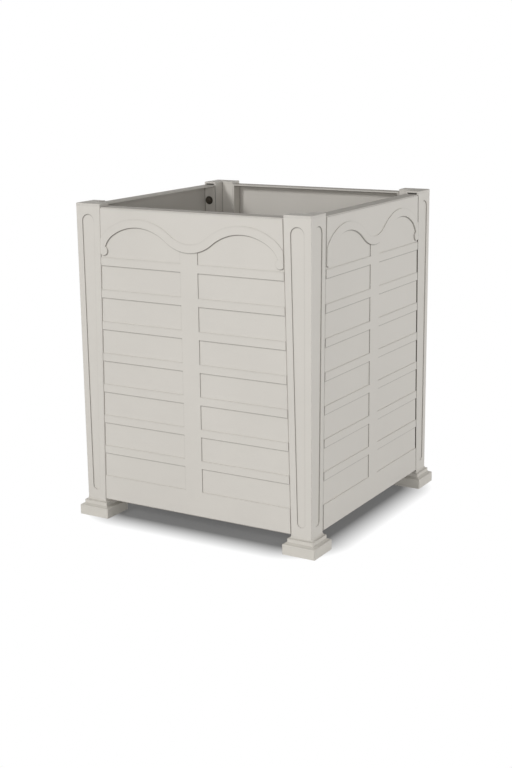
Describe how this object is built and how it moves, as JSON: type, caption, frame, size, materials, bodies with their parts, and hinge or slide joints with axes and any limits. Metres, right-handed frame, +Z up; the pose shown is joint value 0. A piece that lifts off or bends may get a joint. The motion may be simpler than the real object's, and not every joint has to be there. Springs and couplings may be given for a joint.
{
  "type": "versailles planter",
  "caption": "Square metal garden planter: tapered corner posts on moulded feet, bolted panels with a lattice in low relief and a wavy band, open top.",
  "frame": {"origin": "middle of the ground face, under the four feet", "axes": "+X to the right, +Y to the back, +Z up; the front panel faces -Y"},
  "size_m": [0.63, 0.63, 0.735],
  "materials": {
    "greige_paint": "satin powder coat, warm light greige",
    "cast_paint": "satin powder coat over cast metal, warm light greige",
    "inner_paint": "satin powder coat, warm light greige",
    "dark_steel": "dull dark bronzed steel",
    "zinc_steel": "dull zinc plate",
    "black_nylon": "plain moulded nylon"
  },
  "bodies": {
    "root": {"post_front_left": "greige_paint", "post_front_right": "greige_paint", "post_back_right": "greige_paint", "post_back_left": "greige_paint", "cap_front_left": "greige_paint", "cap_front_right": "greige_paint", "cap_back_right": "greige_paint", "cap_back_left": "greige_paint", "foot_front_left": "cast_paint", "foot_front_right": "cast_paint", "foot_back_right": "cast_paint", "foot_back_left": "cast_paint", "panel_front": "greige_paint", "panel_right": "greige_paint", "panel_back": "greige_paint", "panel_left": "greige_paint", "floor_tray": "inner_paint", "floor_bearer_left": "inner_paint", "floor_bearer_right": "inner_paint", "panel_bolts": "dark_steel", "panel_washers": "dark_steel", "panel_spacers": "black_nylon", "panel_rivet_nuts": "zinc_steel", "foot_bolts": "zinc_steel", "foot_washers": "zinc_steel", "bearer_bolts": "zinc_steel", "bearer_washers": "zinc_steel", "bearer_nuts": "zinc_steel"}
  },
  "joints": []
}
